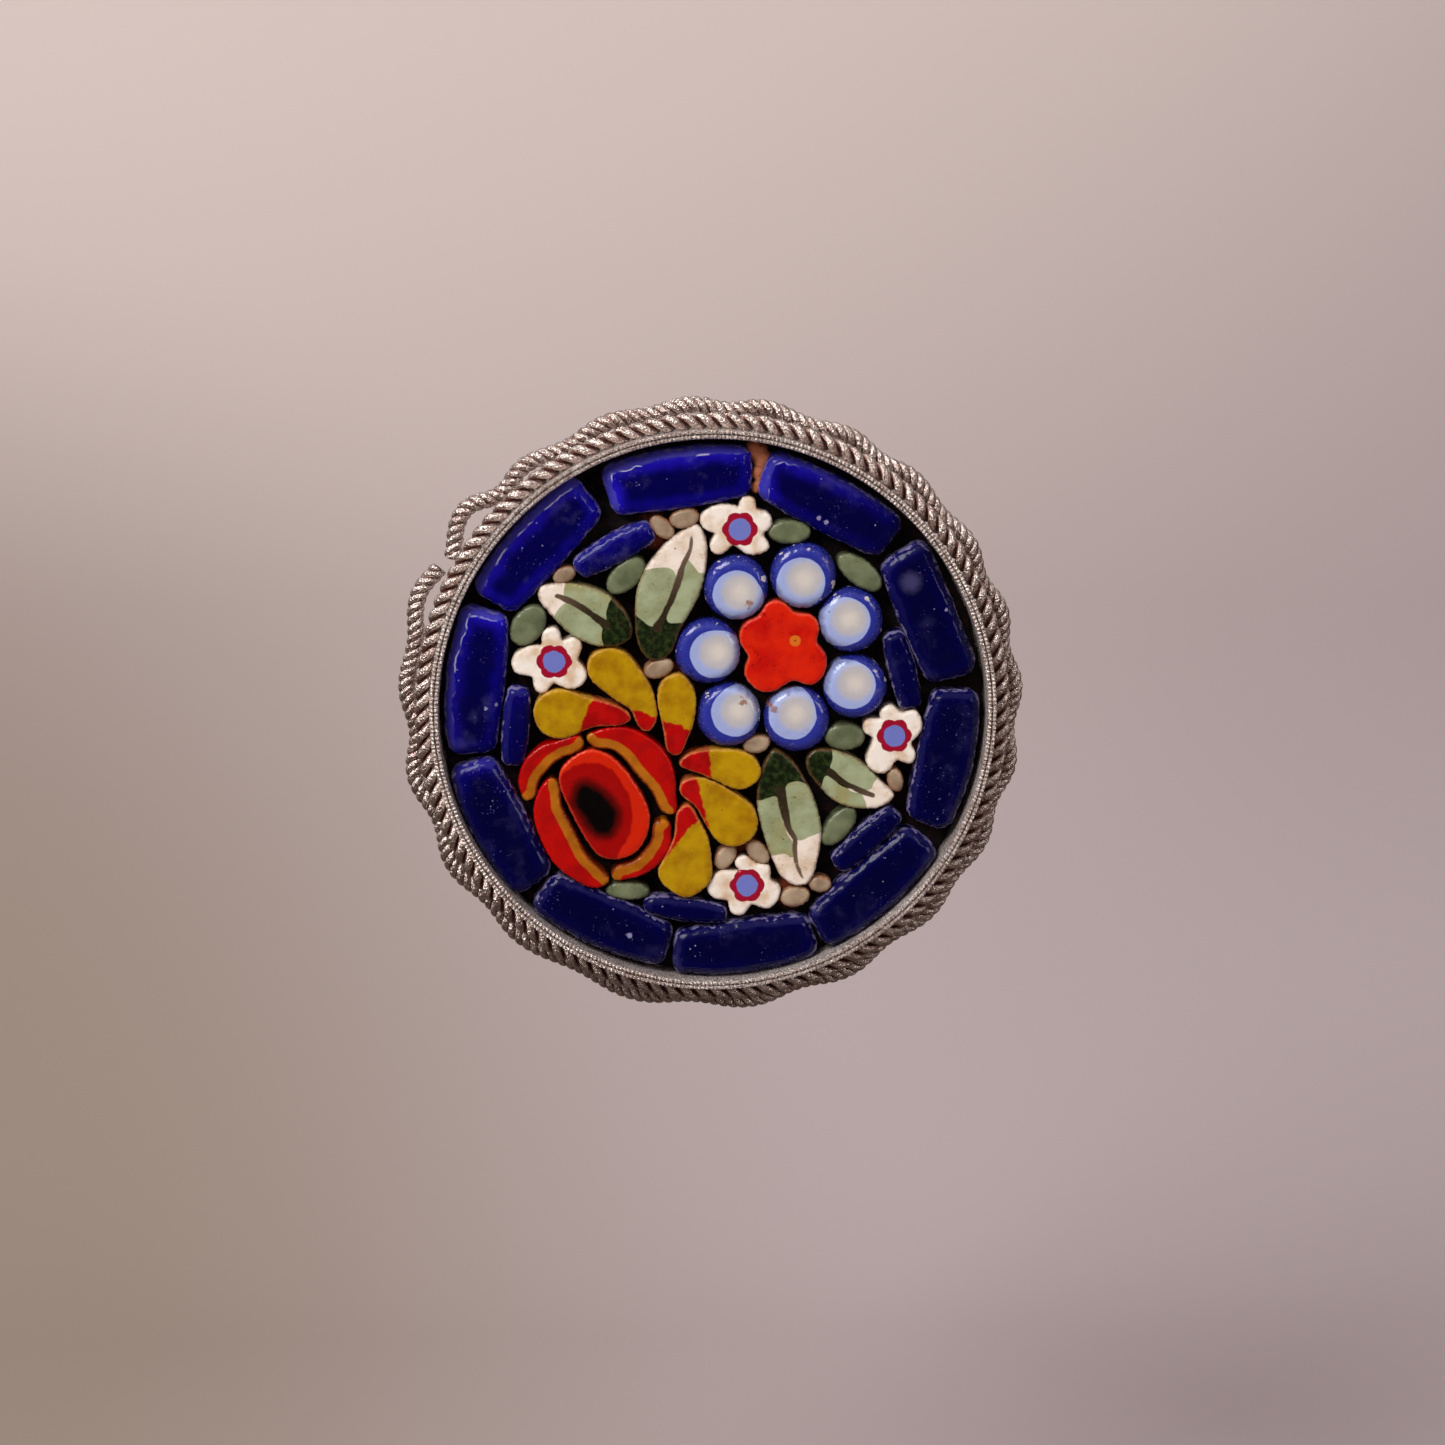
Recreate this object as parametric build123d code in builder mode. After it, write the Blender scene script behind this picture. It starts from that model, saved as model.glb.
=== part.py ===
from build123d import *
from math import cos, radians, sin, sqrt
import os

# A round mosaic earring with a screw back, in millimetres.
# The mosaic faces -Y and its top is +Z. The origin is on the screw's axis, midway across the gap
# that takes the ear lobe. The mosaic's centre lies below that axis, so that the disc covers the lobe.

# The gap for the lobe, and how far the mosaic's centre lies below the screw
lobe_gap = 5.0
disc_drop = 3.0

# The tray: a floor with an upright rim soldered round it
rim_inner_radius = 11.0
rim_wall = 0.35
rim_height = 2.6
tray_floor = 0.4

# The coarse wire ring that lies against the rim
ring_wire_diameter = 0.7
ring_behind_front = 0.95
ring_bite = 0.05

# The finer wire behind it, bent into scallops and soldered to the rim between them
scallop_wire_diameter = 0.72
scallop_behind_front = 1.72
scallop_dip = 0.6
scallop_rise = 0.9
free_end_rise = 1.0
solder_radius = 0.3
solder_length = 0.5

# The cement bed and the glass that stands on it
seat_gap = 0.02
cement_below_front = 1.75
bar_height = 1.1
petal_height = 1.15
leaf_height = 1.0
drop_height = 1.15
rose_height = 1.1
flower_height = 1.0
chip_height = 0.9

# How far the glass is rounded: along its top edge, and at the corners of the bars
bar_edge = 0.42
slim_bar_edge = 0.3
petal_edge = 0.42
cut_edge = 0.06
chip_edge = 0.08
bar_corner = 0.5
slim_bar_corner = 0.28
bar_inner_bow = 0.12

# The screw back: a disc under the tray, a bow under the lobe, and the screw with its pad
grip_disc_radius = 3.5
grip_disc_thickness = 0.6
bow_width = 2.0
bow_thickness = 0.9
bow_drop = 6.3
bow_solder_length = 1.2
bow_tray_gap = 0.1
boss_radius = 1.5
boss_length = 2.2
screw_diameter = 1.6
pad_radius = 2.8
pad_thickness = 0.6
screw_run = 0.9
thumb_radius = 3.0
thumb_thickness = 1.5
thumb_run = 0.8
soft_edge = 0.2
thumb_edge = 0.4

# Sizes that follow from those above
rim_outer_radius = rim_inner_radius + rim_wall
ring_wire_radius = ring_wire_diameter / 2
scallop_wire_radius = scallop_wire_diameter / 2
ring_radius = rim_outer_radius + ring_wire_radius - ring_bite
dip_radius = rim_outer_radius + scallop_dip
crest_radius = rim_outer_radius + scallop_rise
tray_back = -(lobe_gap / 2 + grip_disc_thickness + seat_gap)
bed_front = rim_height - cement_below_front
glass_seat = bed_front + seat_gap
hundredth = rim_inner_radius / 100

# The scallops' crests, clockwise from the top. The wire was bent by hand: some loops reach further out,
# by a share of scallop_rise, and some dips lie further out, by a share of scallop_dip. One loop ends
# free, where the wire was cut, some degrees before the next dip.
# turn: degrees, extra: share of scallop_rise, slack: share of scallop_dip, for the dip before the crest
crests = [
    (10, 0.0, 0.1), (27, 0.0, 0.1), (41, 0.0, 0.1), (57.5, 0.0, 0.1), (71.5, 0.0, 0.0), (86, 0.0, 0.0),
    (101.5, 0.0, 0.0), (117, 0.0, 0.0), (134, 0.0, 0.1), (153, 0.0, 0.0), (172.5, 0.0, 0.0),
    (195, 0.0, 0.0), (219.5, 0.0, 0.0), (238.5, 0.1, 0.1), (257, 0.1, 0.0), (274, 0.1, 0.0),
    (291.5, 0.45, 0.5), (309, 0.55, 0.2), (322.5, 0.1, 0.3), (340, 0.0, 0.1), (356, 0.0, 0.2),
]
free_end_turn = 291.5
free_end_degrees = 2.75

# The layout of the glass. Places and lengths are hundredths of the rim's inner radius,
# to the right and up from the mosaic's centre. Angles are degrees, anticlockwise from the right.

# Blue bars, clockwise from the top. The outer edge of some is ground flatter than the rim's curve.
# right, up, length, width, facing, curve: share of the rim's curve
border_bars = [
    (-12.4, 85.1, 55.4, 21.4, 98, 0.9),
    (42, 75.6, 55.5, 20.3, 62, 0.7),
    (78.3, 34.8, 53, 20.2, 22.5, 0.2),
    (85.3, -18.3, 53.5, 20.6, -11.5, 1.0),
    (58.9, -66.7, 55, 20, -48, 1.0),
    (11.4, -88.6, 54.6, 19.5, -83, 1.0),
    (-40.4, -78.8, 54, 19.4, -115, 1.0),
    (-78.2, -42.2, 53.5, 20.7, -153, 1.0),
    (-86.6, 11.1, 55.5, 21, 174, 1.0),
    (-63.5, 60.7, 55, 21, 138, 0.8),
]
inner_bars = [
    (-35.8, 59.4, 32, 10, 118, 1.0),
    (69.3, 14.4, 29.5, 9.4, 14, 1.0),
    (56.4, -48.4, 30.5, 9.6, -48, 1.0),
    (-10.2, -74.5, 31, 8.2, -98, 1.0),
    (-72.1, -5.6, 29.5, 9.5, 175, 1.0),
]

# Round petals of the large flower, clockwise from its top left. right, up, radius
round_petals = [
    (8.3, 45.2, 11.5),
    (32.9, 49.5, 11.7),
    (50.3, 33, 11.4),
    (52, 8.4, 11.3),
    (30.6, -3.5, 11.7),
    (5.7, -1.8, 11.4),
    (-1.9, 21.8, 11.6),
]

# Small oval chips that fill the gaps. right, up, length, width, angle
green_chips = [
    (27.8, 65.4, 14.6, 7.6, 0),
    (53.4, 50.6, 18.4, 8.4, -38),
    (-67.2, 31.6, 15.4, 10.4, 55),
    (-31.6, 49.8, 16, 8.8, 44),
    (48.4, -10.2, 13.6, 8.8, 0),
    (46.2, -43.6, 16.6, 8, 50),
    (-31.6, -67.2, 15.2, 5.8, -3),
]
cream_chips = [
    (-54, 50.1, 7.8, 4.8, 25),
    (-18.4, 67.2, 9.6, 5.2, -42),
    (-10.3, 70.5, 9.8, 6, 12),
    (-19.8, 15.5, 10.2, 5.8, 20),
    (16, -12.8, 9.2, 5.4, 14),
    (66.9, -26.4, 8, 4.8, -78),
    (4.5, -54.9, 9.2, 5.8, 50),
    (16.5, -53.1, 9.6, 5.6, -45),
    (30.2, -70, 10.2, 6.6, 10),
    (39.4, -65.4, 7.4, 5, -5),
]

# Outlines of the pieces that were cut freehand, as points to the right and up
red_flower = [
    (23.5, 40.1), (26.9, 38.4), (30.4, 35.4), (34.8, 35), (37.8, 32.6), (38.2, 28.5), (37.7, 25), (40.3, 21.5),
    (41.2, 17.5), (39.2, 11.8), (35.4, 9.6), (29.7, 11.2), (24.5, 8.6), (19, 7), (14.2, 9.6), (11.8, 14.8),
    (13.2, 19.8), (10.6, 24.2), (10.4, 29.5), (12.6, 32.6), (16.8, 34.6), (19.4, 38.6),
]
white_flowers = [
    [
        (9, 74.5), (5, 75.5), (-1.5, 74), (-4.5, 70.5), (-2, 66.5), (1, 65), (-0.5, 62),
        (0, 58.5), (3.5, 58), (7, 61), (11, 58.6), (16, 57.6), (20.2, 60.5), (18, 65),
        (20.5, 67.5), (20, 72), (15.5, 74), (15, 77), (12.5, 78.4), (10, 76.6),
    ],
    [
        (-62.5, 24), (-68, 23.5), (-73, 19), (-71.5, 14.5), (-65.5, 12.5), (-65, 9), (-62, 7),
        (-58.5, 10.5), (-54, 9), (-48, 10), (-46.5, 15), (-49.5, 19), (-48, 24), (-51, 27),
        (-55, 26), (-56.5, 30), (-60, 30.5), (-62, 27.5),
    ],
    [
        (61.5, -3), (62.5, 0.5), (65, 1.5), (69.5, -1.5), (73, -0.4), (75.8, -3.2), (75.8, -8.3),
        (72.5, -13), (74, -16.5), (72.3, -19.8), (67.5, -18.5), (64.5, -22.5), (60.5, -23.5),
        (56.5, -19.5), (58, -14), (58.5, -10), (56, -8.5), (55.5, -5), (58.5, -3.5),
    ],
    [
        (9.5, -59), (8.5, -56), (11.5, -54.5), (16, -57.5), (20.5, -58.5), (21, -63.5),
        (24, -65.5), (24, -70), (19.5, -74), (14, -72.5), (11, -76), (7, -75.5), (5.5, -71),
        (1, -70), (-2, -66.5), (-0.5, -63), (5, -60),
    ],
]
leaves = [
    [
        (-6.5, 68), (-14.5, 63.5), (-22, 55.5), (-27.5, 43.5), (-28, 33.5), (-27, 24.5),
        (-22, 19), (-16.5, 21), (-12.5, 29.5), (-5.4, 42.5), (-2.5, 55.5), (-3.5, 65),
    ],
    [
        (-63, 44.9), (-63.2, 42.6), (-60, 37.5), (-52.2, 29.2), (-43, 24.5), (-35, 24.5),
        (-30, 27.5), (-30.5, 33.5), (-35, 40), (-43, 45), (-54, 47), (-60.7, 46.4),
    ],
    [
        (21.5, -15.5), (18.5, -21.5), (16.5, -30.5), (18, -43.5), (22.5, -56.5), (29.5, -65),
        (34, -65), (37.5, -58.5), (39.5, -47.5), (38, -36.5), (33, -25), (26.5, -17),
    ],
    [
        (66, -32.5), (62.5, -35.5), (53, -36.5), (45, -34), (39, -28), (34.5, -20.5),
        (36, -16), (42.5, -15), (50.5, -17.5), (58, -23), (63.5, -28.5),
    ],
]
yellow_petals = [
    [
        (-65, -1.5), (-63.5, 4.5), (-57, 8), (-48.5, 6), (-40, 3.5), (-33.5, 1),
        (-30.5, -2.5), (-33.5, -4.5), (-42, -5), (-49, -7.5), (-56.5, -9.5), (-62.5, -7),
    ],
    [
        (-45.5, 15.5), (-43.5, 21), (-37.5, 23), (-31.5, 21), (-27, 15.5), (-23, 9), (-21, 2),
        (-21, -3), (-24.5, -7), (-27.5, -4.5), (-29.5, 0.5), (-34.5, 4), (-40.5, 8.5),
    ],
    [
        (-13.5, 13.5), (-18.5, 10.5), (-20, 4.5), (-19, -2), (-17.5, -9.5), (-15.5, -15.5),
        (-13.5, -16), (-10, -11), (-7.5, -4.5), (-6.5, 2), (-7, 7.5), (-9.5, 11.5),
    ],
    [
        (17, -21.5), (14, -17), (9.5, -15), (2, -14.5), (-5.5, -15), (-11, -17.5),
        (-12, -19.5), (-9, -21.5), (-3.5, -23.5), (3, -26.5), (9.5, -29), (14.5, -27),
    ],
    [
        (16, -40.5), (14.5, -46.5), (9.5, -50), (3, -49), (-1, -44.5), (-4, -39), (-7.5, -34),
        (-11.5, -30.5), (-11.5, -27), (-7.5, -25), (-2.5, -25.5), (5, -29), (11, -33), (15, -37),
    ],
    [
        (-11, -69), (-16.5, -66), (-20, -60.5), (-18, -55), (-15, -49.5), (-13.5, -43),
        (-12.5, -37), (-9.5, -35), (-6, -39.5), (-2.5, -46.5), (-1, -55), (-1, -62.5), (-5, -67),
    ],
]
rose_heart = [
    (-46.3, -14.6), (-52.4, -18), (-56, -23.5), (-53, -34.5), (-46.5, -47.5), (-39.5, -54.5),
    (-33.5, -54.5), (-28, -51.5), (-24.5, -45.5), (-23.5, -39), (-26, -31.5), (-30, -25),
    (-35, -19), (-40, -15.5),
]
rose_petals = [
    [
        (-69.3, -32), (-70.8, -25.5), (-68.5, -18), (-62, -12.5), (-54, -10), (-48.8, -9.4),
        (-47.6, -12.2), (-55, -16.5), (-60.5, -21), (-64.5, -27), (-66, -31.8),
    ],
    [
        (-45.4, -8.6), (-41, -6.8), (-33, -6), (-24.5, -9.5), (-18, -15), (-14.5, -23.5),
        (-13.8, -32.5), (-14.6, -37.8), (-17.7, -37.6), (-21.5, -31.5), (-26.5, -25), (-32, -18),
        (-38, -13.5), (-44.8, -11.9),
    ],
    [
        (-60.3, -25.2), (-64, -30), (-65.6, -37), (-63.2, -47.3), (-57.2, -57.3), (-49, -63.5),
        (-42, -65.2), (-38.6, -63), (-42.5, -58), (-48.5, -50), (-53, -41), (-56.2, -32),
        (-57.2, -26.3),
    ],
    [
        (-19.6, -40.8), (-16.6, -41.5), (-15.8, -46), (-16.5, -51), (-20, -56.5), (-25.5, -60.5),
        (-33, -62.5), (-37, -62), (-36.5, -59), (-30.5, -56.5), (-25, -52), (-22, -46.5),
    ],
]

os.makedirs("parts", exist_ok=True)


def face_plane(height):
    """A plane that faces the front, this far in front of the tray's back, with the mosaic's centre as its own."""
    return Plane(origin=(0, tray_back - height, -disc_drop), x_dir=(1, 0, 0), z_dir=(0, -1, 0))


def back_plane(depth):
    """A plane that faces the back at this depth, centred on the screw's axis."""
    return Plane(origin=(0, depth, 0), x_dir=(-1, 0, 0), z_dir=(0, 1, 0))


def round_the_disc(turn, radius, height):
    """A point this many degrees clockwise from the mosaic's top, this far out and this far forward."""
    right = radius * sin(radians(turn))
    up = radius * cos(radians(turn))
    return (right, tray_back - height, up - disc_drop)


def keep(piece, name):
    """Labels a finished piece and writes it."""
    piece.part.label = name
    export_step(piece.part, f"parts/{name}.step")


# The setting: the tray with both wires, soldered into one
with BuildPart() as setting:
    with BuildSketch(face_plane(0)):
        Circle(rim_outer_radius)
    extrude(amount=tray_floor)
    with BuildSketch(face_plane(0)):
        Circle(rim_outer_radius)
        Circle(rim_inner_radius, mode=Mode.SUBTRACT)
    extrude(amount=rim_height)

    ring_height = rim_height - ring_behind_front
    with BuildSketch(Plane(origin=(0, tray_back - ring_height, -disc_drop), z_dir=(0, 0, 1))):
        with Locations((ring_radius, 0)):
            Circle(ring_wire_radius)
    revolve(axis=Axis((0, 0, -disc_drop), (0, 1, 0)))

    # Each scallop runs from one dip over its crest to the next dip
    scallop_height = rim_height - scallop_behind_front
    turns = [turn for turn, extra, slack in crests]
    dip_turns = [(before + after) / 2 for before, after in zip([turns[-1] - 360] + turns, turns + [turns[0] + 360])]
    dip_radii = [dip_radius + slack * scallop_dip for turn, extra, slack in crests + crests[:1]]
    dips = list(zip(dip_turns, dip_radii))
    for (turn, extra, slack), (first_turn, first_radius), (last_turn, last_radius) in zip(crests, dips, dips[1:]):
        if turn == free_end_turn:
            last_turn = last_turn - free_end_degrees
            last_radius = rim_outer_radius + free_end_rise
        first = round_the_disc(first_turn, first_radius, scallop_height)
        crest = round_the_disc(turn, crest_radius + extra * scallop_rise, scallop_height)
        last = round_the_disc(last_turn, last_radius, scallop_height)
        with BuildLine():
            loop = ThreePointArc(first, crest, last)
        with BuildSketch(Plane(origin=loop @ 0, z_dir=loop % 0)):
            Circle(scallop_wire_radius)
        sweep()

    # A drop of solder fills the space between the rim and the wire at each dip
    with BuildSketch(face_plane(scallop_height - solder_length / 2)):
        for turn, radius in dips[:-1]:
            solder_reach = (rim_outer_radius + radius - scallop_wire_radius) / 2
            with Locations((solder_reach * sin(radians(turn)), solder_reach * cos(radians(turn)))):
                Circle(solder_radius)
    extrude(amount=solder_length)
keep(setting, "setting")

# The cement that the glass is pressed into
with BuildPart() as cement:
    with BuildSketch(face_plane(tray_floor + seat_gap)):
        Circle(rim_inner_radius - seat_gap)
    extrude(amount=bed_front - tray_floor - seat_gap)
keep(cement, "cement")


def bar_outline(right, up, length, width, facing, curve, corner):
    """A bar whose outer edge follows the rim's curve, or a share of it, and whose ends close in towards the middle."""
    half_length = length / 2 * hundredth
    half_width = width / 2 * hundredth
    reach = sqrt(right**2 + up**2) * hundredth + half_width
    sag = curve * (reach - sqrt(reach**2 - half_length**2))
    inner_half = half_length * (reach - width * hundredth / 2) / reach
    with BuildSketch() as blank:
        with BuildLine():
            ThreePointArc((-half_length, half_width - sag), (0, half_width), (half_length, half_width - sag))
            Line((half_length, half_width - sag), (inner_half, bar_inner_bow - half_width))
            ThreePointArc(
                (inner_half, bar_inner_bow - half_width),
                (0, -half_width),
                (-inner_half, bar_inner_bow - half_width),
            )
            Line((-inner_half, bar_inner_bow - half_width), (-half_length, half_width - sag))
        make_face()
        fillet(blank.vertices(), radius=corner)
    with BuildSketch() as outline:
        with Locations(Location((right * hundredth, up * hundredth, 0), (0, 0, facing - 90))):
            add(blank.sketch)
    return outline.sketch


def round_outline(right, up, radius):
    """A round piece."""
    with BuildSketch() as outline:
        with Locations((right * hundredth, up * hundredth)):
            Circle(radius * hundredth)
    return outline.sketch


def oval_outline(right, up, length, width, angle):
    """A small oval chip."""
    with BuildSketch() as outline:
        with Locations(Location((right * hundredth, up * hundredth, 0), (0, 0, angle))):
            Ellipse(length / 2 * hundredth, width / 2 * hundredth)
    return outline.sketch


def cut_outline(points):
    """A piece cut freehand: a smooth closed line through its points."""
    with BuildSketch() as outline:
        with BuildLine():
            Spline(*[(right * hundredth, up * hundredth) for right, up in points], periodic=True)
        make_face()
    return outline.sketch


def make_glass(name, outlines, height, edge):
    """Glass stood on the cement, with its top edge rounded. Several outlines make loose chips in one piece."""
    with BuildPart() as glass:
        for outline in outlines:
            with BuildSketch(face_plane(glass_seat)):
                add(outline)
            extrude(amount=height)
        top_faces = glass.faces().group_by(Axis.Y)[0]
        fillet(top_faces.edges(), radius=edge)
    keep(glass, name)


for number, bar in enumerate(border_bars, start=1):
    make_glass(f"border_bar_{number:02d}", [bar_outline(*bar, bar_corner)], bar_height, bar_edge)

for number, bar in enumerate(inner_bars, start=1):
    make_glass(f"inner_bar_{number}", [bar_outline(*bar, slim_bar_corner)], bar_height, slim_bar_edge)

for number, petal in enumerate(round_petals, start=1):
    make_glass(f"round_petal_{number}", [round_outline(*petal)], petal_height, petal_edge)

for number, points in enumerate(leaves, start=1):
    make_glass(f"leaf_{number}", [cut_outline(points)], leaf_height, cut_edge)

for number, points in enumerate(yellow_petals, start=1):
    make_glass(f"yellow_petal_{number}", [cut_outline(points)], drop_height, cut_edge)

for number, points in enumerate(rose_petals, start=1):
    make_glass(f"rose_petal_{number}", [cut_outline(points)], rose_height, cut_edge)

for number, points in enumerate(white_flowers, start=1):
    make_glass(f"white_flower_{number}", [cut_outline(points)], flower_height, cut_edge)

make_glass("red_flower", [cut_outline(red_flower)], flower_height, cut_edge)
make_glass("rose_heart", [cut_outline(rose_heart)], rose_height, cut_edge)
make_glass("green_chips", [oval_outline(*chip) for chip in green_chips], chip_height, chip_edge)
make_glass("cream_chips", [oval_outline(*chip) for chip in cream_chips], chip_height, chip_edge)

# The screw back, as one plain piece
bow_front = -lobe_gap / 2 - grip_disc_thickness + bow_tray_gap + bow_thickness / 2
boss_front = lobe_gap / 2 + pad_thickness + screw_run
bow_back = boss_front + boss_length / 2
bow_middle = (bow_front + bow_back) / 2
bow_bend_radius = (bow_back - bow_front) / 2
thumb_front = boss_front + boss_length + thumb_run
with BuildPart() as screw_back:
    with BuildSketch(Plane.YZ):
        with BuildLine():
            Line((bow_front, bow_solder_length - grip_disc_radius), (bow_front, -bow_drop))
            ThreePointArc(
                (bow_front, -bow_drop),
                (bow_middle, -bow_drop - bow_bend_radius),
                (bow_back, -bow_drop),
            )
            Line((bow_back, -bow_drop), (bow_back, 0))
        trace(line_width=bow_thickness)
    extrude(amount=bow_width / 2, both=True)
    with BuildSketch(back_plane(-lobe_gap / 2 - grip_disc_thickness)):
        Circle(grip_disc_radius)
    extrude(amount=grip_disc_thickness)
    with BuildSketch(back_plane(boss_front)):
        Circle(boss_radius)
    extrude(amount=boss_length)
    with BuildSketch(back_plane(lobe_gap / 2)):
        Circle(screw_diameter / 2)
    extrude(amount=thumb_front - lobe_gap / 2)
    with BuildSketch(back_plane(lobe_gap / 2)):
        Circle(pad_radius)
    extrude(amount=pad_thickness)
    pad_rims = screw_back.edges(Select.LAST).filter_by(GeomType.CIRCLE).group_by(SortBy.RADIUS)[-1]
    fillet(pad_rims, radius=soft_edge)
    with BuildSketch(back_plane(thumb_front)):
        Circle(thumb_radius)
    extrude(amount=thumb_thickness)
    thumb_rims = screw_back.edges(Select.LAST).filter_by(GeomType.CIRCLE).group_by(SortBy.RADIUS)[-1]
    fillet(thumb_rims, radius=thumb_edge)
keep(screw_back, "screw_back")
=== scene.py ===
import math

import bpy
import numpy as np
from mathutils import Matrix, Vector
from mathutils.kdtree import KDTree


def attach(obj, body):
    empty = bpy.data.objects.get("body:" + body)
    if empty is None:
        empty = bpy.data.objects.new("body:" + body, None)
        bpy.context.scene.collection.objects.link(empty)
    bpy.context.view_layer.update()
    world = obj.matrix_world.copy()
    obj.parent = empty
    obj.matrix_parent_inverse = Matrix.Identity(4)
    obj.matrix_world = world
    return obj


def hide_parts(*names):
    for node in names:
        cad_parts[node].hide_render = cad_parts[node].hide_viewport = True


# A round mosaic earring with a screw back. The mosaic faces -Y and its top is +Z.
# Pieces are shaped at a thousand times their size, so that one unit is a millimetre,
# and are brought to their real size at the end.

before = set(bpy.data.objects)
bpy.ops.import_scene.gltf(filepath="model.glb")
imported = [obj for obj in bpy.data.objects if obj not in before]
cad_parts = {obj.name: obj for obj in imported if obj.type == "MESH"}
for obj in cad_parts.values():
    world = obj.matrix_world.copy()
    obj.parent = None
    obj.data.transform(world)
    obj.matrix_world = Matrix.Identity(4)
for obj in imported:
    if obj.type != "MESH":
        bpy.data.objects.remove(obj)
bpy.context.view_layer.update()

# Sizes of the setting, in millimetres
to_metres = 0.001
disc_drop = 3.0
tray_back = -3.12
rim_inner_radius = 11.0
rim_outer_radius = 11.35
rim_height = 2.6
tray_floor = 0.4
ring_wire_diameter = 0.7
ring_radius = 11.65
ring_height = 1.65
scallop_wire_diameter = 0.72
scallop_height = 0.88
scallop_dip = 0.6
scallop_rise = 0.9
dip_radius = rim_outer_radius + scallop_dip
crest_radius = rim_outer_radius + scallop_rise

# Crests of the scallops, in degrees clockwise from the top, how much further out some reach, as a share of
# scallop_rise, and how slack the dip before each is, as a share of scallop_dip
crests = [
    (10, 0.0, 0.1), (27, 0.0, 0.1), (41, 0.0, 0.1), (57.5, 0.0, 0.1), (71.5, 0.0, 0.0), (86, 0.0, 0.0),
    (101.5, 0.0, 0.0), (117, 0.0, 0.0), (134, 0.0, 0.1), (153, 0.0, 0.0), (172.5, 0.0, 0.0),
    (195, 0.0, 0.0), (219.5, 0.0, 0.0), (238.5, 0.1, 0.1), (257, 0.1, 0.0), (274, 0.1, 0.0),
    (291.5, 0.45, 0.5), (309, 0.55, 0.2), (322.5, 0.1, 0.3), (340, 0.0, 0.1), (356, 0.0, 0.2),
]
free_end_turn = 297.5
free_end_radius = 12.35
free_start_turn = 300.25


def pick_nothing():
    """Clears the selection, so that an operator acts on nothing by mistake."""
    bpy.ops.object.select_all(action="DESELECT")


def pick(piece):
    """Makes this piece the one that operators act on."""
    pick_nothing()
    piece.select_set(True)
    bpy.context.view_layer.objects.active = piece


def apply_all(piece):
    """Applies every modifier of a piece, in order."""
    pick(piece)
    for modifier in list(piece.modifiers):
        bpy.ops.object.modifier_apply(modifier=modifier.name)


def edit_all():
    """Goes into edit mode with the whole mesh selected."""
    bpy.ops.object.mode_set(mode="EDIT")
    bpy.ops.mesh.select_all(action="SELECT")


def to_real_size(piece):
    """Brings a piece from millimetre units to metres, with its place in its mesh."""
    pick(piece)
    piece.location *= to_metres
    piece.scale = (to_metres, to_metres, to_metres)
    bpy.ops.object.transform_apply(location=True, rotation=True, scale=True)


def settle(piece, slot, *nodes):
    """Fastens a finished piece to the part and hides the solids that it stands in for."""
    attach(piece, "root")
    if nodes:
        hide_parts(*nodes)


def on_ring(turn, radius, height):
    """A point this many degrees clockwise from the top, this far out and this far forward, in millimetres."""
    right = radius * math.sin(math.radians(turn))
    up = radius * math.cos(math.radians(turn))
    return Vector((right, tray_back - height, up - disc_drop))


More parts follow.
